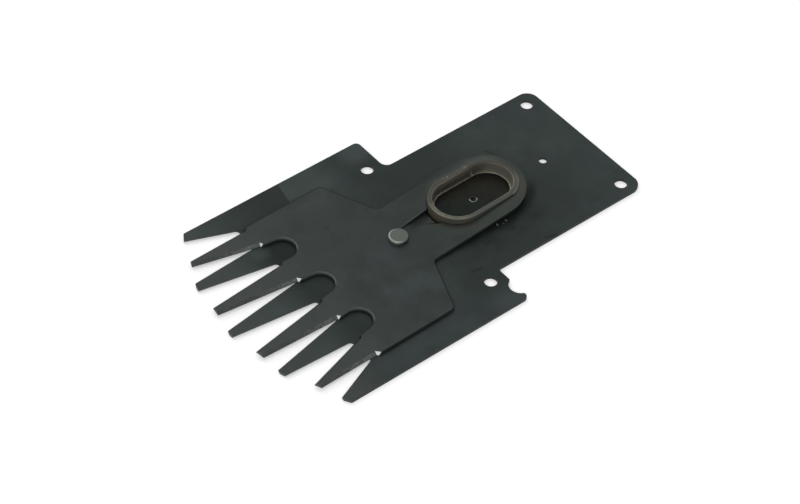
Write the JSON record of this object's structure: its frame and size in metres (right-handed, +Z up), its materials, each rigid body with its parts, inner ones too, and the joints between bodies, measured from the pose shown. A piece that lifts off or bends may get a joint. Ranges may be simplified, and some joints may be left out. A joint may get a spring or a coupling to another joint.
{
  "type": "hedge trimmer blade",
  "caption": "Cutting head of a cordless garden shear: flat comb plate with a tang, and a shorter toothed blade that swings over it on a rivet, driven through an oval collar.",
  "frame": {"origin": "axis of the rivet, level with the underside of the comb plate", "axes": "+X across the head, +Y from the teeth towards the tang, +Z up out of the comb plate towards the blade"},
  "size_m": [0.08, 0.1337, 0.0048],
  "materials": {
    "comb_steel": "satin",
    "blade_steel": "satin",
    "rivet_steel": "satin",
    "collar_steel": "satin"
  },
  "bodies": {
    "comb": {"base_plate": "comb_steel", "pivot_rivet": "rivet_steel"},
    "cutter": {"upper_blade": "blade_steel", "drive_collar": "collar_steel"}
  },
  "joints": [
    {"name": "blade_swing", "type": "hinge", "parent": "comb", "child": "cutter", "pos_m": [0, 0, 0], "axis": [0, 0, 1], "range_deg": [-10.5, 8.5]}
  ]
}
